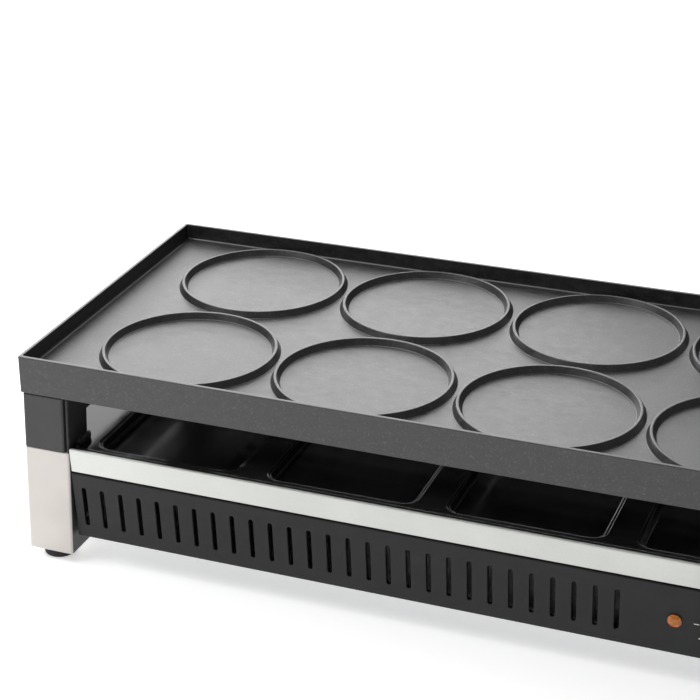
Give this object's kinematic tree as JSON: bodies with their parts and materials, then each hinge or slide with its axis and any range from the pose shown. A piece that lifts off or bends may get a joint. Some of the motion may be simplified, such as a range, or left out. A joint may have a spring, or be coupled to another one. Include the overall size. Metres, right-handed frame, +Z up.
{
  "type": "electric griddle",
  "caption": "Table griddle with a lift-off cast pancake plate on four column legs, a glossy black deck with pan bays under it, slotted side panels and a thermostat dial.",
  "frame": {"origin": "middle of the outline's footprint, on the surface the feet stand on", "axes": "+X along the length to the right as seen from the dial side, +Y to the back, +Z up"},
  "size_m": [0.5074, 0.2442, 0.1365],
  "materials": {
    "cast_coating": "dark grey non-stick coating on cast aluminium, fine mottled texture",
    "black_enamel": "glossy black enamel",
    "silver_strip": "satin silver, brighter rounded top edge",
    "silver_paint": "satin silver paint",
    "dark_plastic": "dark grey heat-resistant plastic, satin",
    "vent_plastic": "dark grey moulded plastic, satin",
    "rubber": "black rubber",
    "sheet_steel": "galvanised sheet",
    "element_steel": "heat-darkened steel sheath",
    "zinc_steel": "zinc-plated steel",
    "brass": "bright brass",
    "ceramic": "unglazed white ceramic",
    "amber_lens": "clear amber",
    "wire_brown": "brown insulation",
    "wire_blue": "blue insulation",
    "wire_green": "green and yellow insulation",
    "wire_black": "black insulation"
  },
  "bodies": {
    "base": {"deck": "black_enamel", "front_rail": "silver_strip", "right_rail": "silver_strip", "back_rail": "silver_strip", "left_rail": "silver_strip", "leg_front_left": "silver_paint", "leg_front_right": "silver_paint", "leg_back_left": "silver_paint", "leg_back_right": "silver_paint", "corner_block_front_left": "dark_plastic", "corner_block_front_right": "dark_plastic", "corner_block_back_left": "dark_plastic", "corner_block_back_right": "dark_plastic", "terminal_housing": "dark_plastic", "appliance_inlet": "dark_plastic", "front_vent_panel": "vent_plastic", "right_vent_panel": "vent_plastic", "back_vent_panel": "vent_plastic", "left_vent_panel": "vent_plastic", "rubber_foot_front_left": "rubber", "rubber_foot_front_right": "rubber", "rubber_foot_back_left": "rubber", "rubber_foot_back_right": "rubber", "base_tray": "sheet_steel", "heating_element": "element_steel", "element_bracket_left": "zinc_steel", "element_bracket_right": "zinc_steel", "element_tie": "zinc_steel", "thermal_cutout": "zinc_steel", "element_clamp_left_front": "zinc_steel", "element_clamp_left_back": "zinc_steel", "element_clamp_right_front": "zinc_steel", "element_clamp_right_back": "zinc_steel", "tray_screw_front_left": "zinc_steel", "tray_screw_front_right": "zinc_steel", "tray_screw_back_left": "zinc_steel", "tray_screw_back_right": "zinc_steel", "inlet_pin_live": "brass", "inlet_pin_neutral": "brass", "inlet_pin_earth": "brass", "thermostat": "ceramic", "terminal_block": "ceramic", "pilot_lens": "amber_lens", "wire_live": "wire_brown", "wire_switched": "wire_brown", "wire_neutral": "wire_blue", "wire_load": "wire_blue", "wire_earth": "wire_green", "wire_return": "wire_black"},
    "griddle": {"griddle_plate": "cast_coating"},
    "dial": {"control_dial": "dark_plastic", "thermostat_spindle": "zinc_steel"}
  },
  "joints": [
    {"name": "plate_lift", "type": "slide", "parent": "base", "child": "griddle", "axis": [0, 0, 1], "range_m": [0, 0.06]},
    {"name": "dial_turn", "type": "hinge", "parent": "base", "child": "dial", "pos_m": [0.176, -0.10644, 0.041], "axis": [0, -0.9962, -0.0872], "range_deg": [0, 270]}
  ]
}
